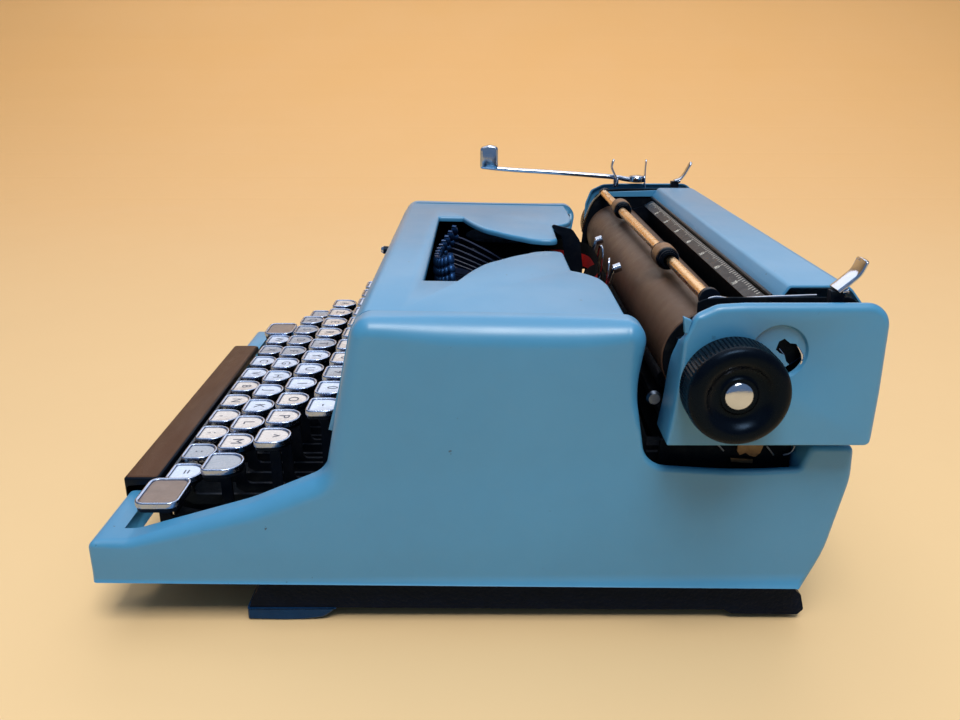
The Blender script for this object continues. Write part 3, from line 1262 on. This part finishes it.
def carriage_end_works():
    """Brass quadrant, bracket, wires and a round cap in the gap below the right end cover."""
    works = Shape()
    quadrant = [(236.9, 73.4), (236.9, 70.9), (238.0, 69.3), (240.0, 70.3), (241.5, 69.1), (243.6, 68.6),
                (245.3, 70.2), (246.2, 73.4)]
    works.prism_x(quadrant, 118.4, 119.2, 1)
    works.prism_x([(234.7, 68.4), (242.8, 67.7), (242.8, 66.2), (234.9, 66.8)], 118.6, 119.6, 1)
    works.tube([(119, 247.4, 72.8), (119, 250.3, 69.2)], 0.35, 0, 10)
    arc = smooth_line([(119, 257.5, 73.0), (119, 257.0, 71.2), (119, 255.6, 69.8), (119, 253.7, 69.3)], 6)
    works.tube(arc, 0.35, 0, 10)
    works.tube([(118.8, 229, 74.2), (118.8, 232, 70.8)], 0.35, 0, 10)
    works.tube([(116.8, 205.8, 90.8), (118.2, 205.8, 90.8)], lambda t: 2.7 - 0.7 * t, 0, 24)
    piece(works, "carriage_end_works", "carriage", [STEEL, BRASS])


def trough_walls():
    """Dark walls that close the ends of the carriage trough."""
    shade = Shape()
    for side in (-1, 1):
        shade.prism_x([(209, 58), (257, 58), (257, 74.6), (209, 74.6)],
                      *sorted((side * 116.0, side * 117.4)))
    piece(shade, "trough_walls", "chassis", [DARK_INSIDE], bevel=0.3)


def carriage_back_plate():
    """The slotted black plate behind the carriage."""
    back = Shape()
    plate = rounded_box(-112, 112, 81, 112, 2)
    back.prism_y(plate, 268.5, 269.6)
    for k in range(9):
        x = -96 + 24 * k
        back.block(x - 8, x + 8, 269.6, 270.5, 90, 92.5)
        back.block(x - 8, x + 8, 269.6, 270.5, 97, 99.5)
    piece(back, "carriage_back_plate", "carriage", [BLACK_STEEL], bevel=0.4)


def front_setting_knobs():
    """Small controls on the sloping front above the keys."""
    knobs = Shape()
    tab = closed_path([(85.6, 90.4, 1), (88.6, 90.4, 1), (88.6, 95.4, 0.6), (85.6, 95.4, 0.6)], 0.3)
    knobs.prism_z([(p.x, p.y + 1.4) for p in tab], 91.8, 94.6, 1)
    knobs.tube([(-70, 94, 103.0), (-70, 90.4, 103.4)], 2.2, 1, 24)
    knobs.tube([(-70, 90.4, 103.4), (-70, 89.0, 103.5)], lambda t: 2.2 - 0.8 * t, 0, 24)
    piece(knobs, "front_setting_knobs", "chassis", [CHROME, BLACK_STEEL], bevel=0.2)


def key_lever_comb():
    """The comb whose teeth guide the key levers."""
    comb = Shape()
    for i in range(45):
        x = -112 + 4.7625 * i + 1.0
        comb.block(x, x + 1.6, 96.5, 98.5, 22, 60, 0)
    comb.block(-114, 114, 98.5, 100, 20, 64, 0)
    piece(comb, "key_lever_comb", "chassis", [DARK_INSIDE])


def well_liner():
    """Dark floor and walls below the keys, with the gaps that let light through."""
    liner = Shape()
    liner.block(-114, 114, 94.5, 95.5, 62, 84, 0)
    for x0, x1 in ((-87, -75.6), (-72.1, 72.1), (75.6, 87)):
        liner.block(x0, x1, 11.0, 12.0, 16.5, 30.5, 0)
    for x0, x1, y0, y1 in ((-114, -75.6, 12, 60), (-72.1, 40, 12, 60), (40, 50, 12, 36), (40, 50, 46, 60),
                           (50, 72.1, 12, 60), (75.6, 88, 12, 60), (88, 114, 12, 60)):
        liner.block(x0, x1, y0, y1, 16.4, 17.4, 0)
    piece(liner, "well_liner", "chassis", [DARK_INSIDE])


def show_inner_metal():
    """The frame and the carriage bed keep their CAD shapes and get real finishes."""
    for name, material in (("main_frame", DARK_INSIDE), ("carriage_bed", BLACK_STEEL)):
        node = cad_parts[name]
        node.data.materials.clear()
        node.data.materials.append(material)


# ------------------------------------------------------------------ stage, light and camera
def stage():
    """A pale floor that curves up into a plain backdrop, and cool light all round."""
    profile = round_path([(2500, 0), (-1900, 0, 1500), (-2600, 2600)], step=40)
    shape = Shape()
    shape.rings([[(p.x, y, p.y) for y in (-5000, 5000)] for p in profile], wrap=False, caps=OPEN)
    mesh = bpy.data.meshes.new("floor")
    mesh.from_pydata([at(*v) for v in shape.verts], [], shape.faces)
    mesh.shade_smooth()
    paper = surface("floor_paper", linear(229, 196, 146), 0.7, mottle=0.015, mottle_mm=500, grain=0.03)
    tree = paper.node_tree
    color = tree.nodes["Principled BSDF"].inputs["Base Color"]
    place = tree.nodes.new("ShaderNodeTexCoord").outputs["Object"]
    along = node(tree, "ShaderNodeSeparateXYZ", {"Vector": place}).outputs["X"]
    nearness = spread(tree, along, 0, 1, -1.5, 0.1)
    blend = mix(tree, nearness, linear(248, 187, 114), color.links[0].from_socket)
    tree.links.new(blend, color)
    mesh.materials.append(paper)
    floor = bpy.data.objects.new("floor", mesh)
    show(floor)
    world = bpy.data.worlds.new("studio")
    bpy.context.scene.world = world
    world.use_nodes = True
    background = world.node_tree.nodes["Background"]
    background.inputs["Color"].default_value = linear(170, 205, 245)
    background.inputs["Strength"].default_value = 0.34


def area_light(name, place, target, size, power, color=(1, 1, 1)):
    data = bpy.data.lights.new(name, "AREA")
    data.shape = "RECTANGLE"
    data.size, data.size_y = size
    data.energy = power
    data.color = color
    lamp = bpy.data.objects.new(name, data)
    lamp.location = place
    lamp.rotation_euler = (Vector(target) - Vector(place)).to_track_quat("-Z", "Y").to_euler()
    show(lamp)


def lights():
    """A broad soft overhead light, a warm key lamp at the right and a cool softbox behind."""
    sun = bpy.data.lights.new("sky_bounce", "SUN")
    sun.energy = 0.9
    sun.angle = math.radians(60)
    sun.color = (1.0, 0.96, 0.9)
    lamp = bpy.data.objects.new("sky_bounce", sun)
    lamp.rotation_euler = Vector((0.12, 0.02, -1)).to_track_quat("-Z", "Y").to_euler()
    show(lamp)
    area_light("key_lamp", (0.82, 0.1, 1.55), (0, 0.05, 0.08), (0.7, 0.7), 22, (1.0, 0.97, 0.92))
    area_light("back_softbox", (-1.45, 0.1, 1.15), (0, 0, 0.1), (2.2, 1.0), 10.5, (0.78, 0.86, 0.95))


def camera():
    """Level with the machine's right side, looking along -X and about 20 degrees down."""
    data = bpy.data.cameras.new("camera")
    data.lens = 31.875
    data.sensor_width = 36.0
    data.clip_start = 0.01
    data.clip_end = 50
    view = bpy.data.objects.new("camera", data)
    view.location = at(397.2, 143.6, 205.7)
    look = Matrix.Rotation(math.radians(89.94), 4, "Z") @ Matrix.Rotation(math.radians(90 - 19.74), 4, "X")
    view.rotation_euler = look.to_euler()
    show(view)
    bpy.context.scene.camera = view


# ------------------------------------------------------------------ assembly
camera()
stage()
lights()
body_shell()
ribbon_cover()
base_tray()
rubber_feet()
keyboard()
shift_keys()
shift_lock()
space_bar()
type_basket()
moving_typebar_and_rest()
ribbon_spools()
ink_ribbon()
card_guide()
ribbon_vibrator()
for hand, label in reversed(SIDES):
    end_cover(hand, label)
    inner_end_plate(hand, label)
    if label == "right":
        platen_lock_rim()
paper_table()
ruler_scale()
platen_and_knobs()
bail_frame()
bail_rollers()
return_lever()
release_levers()
left_end_blades()
escapement_rack()
feed_rollers()
end_cover_screws()
carriage_end_works()
trough_walls()
carriage_back_plate()
front_setting_knobs()
key_lever_comb()
well_liner()
show_inner_metal()

bpy.context.scene.view_settings.view_transform = "Standard"
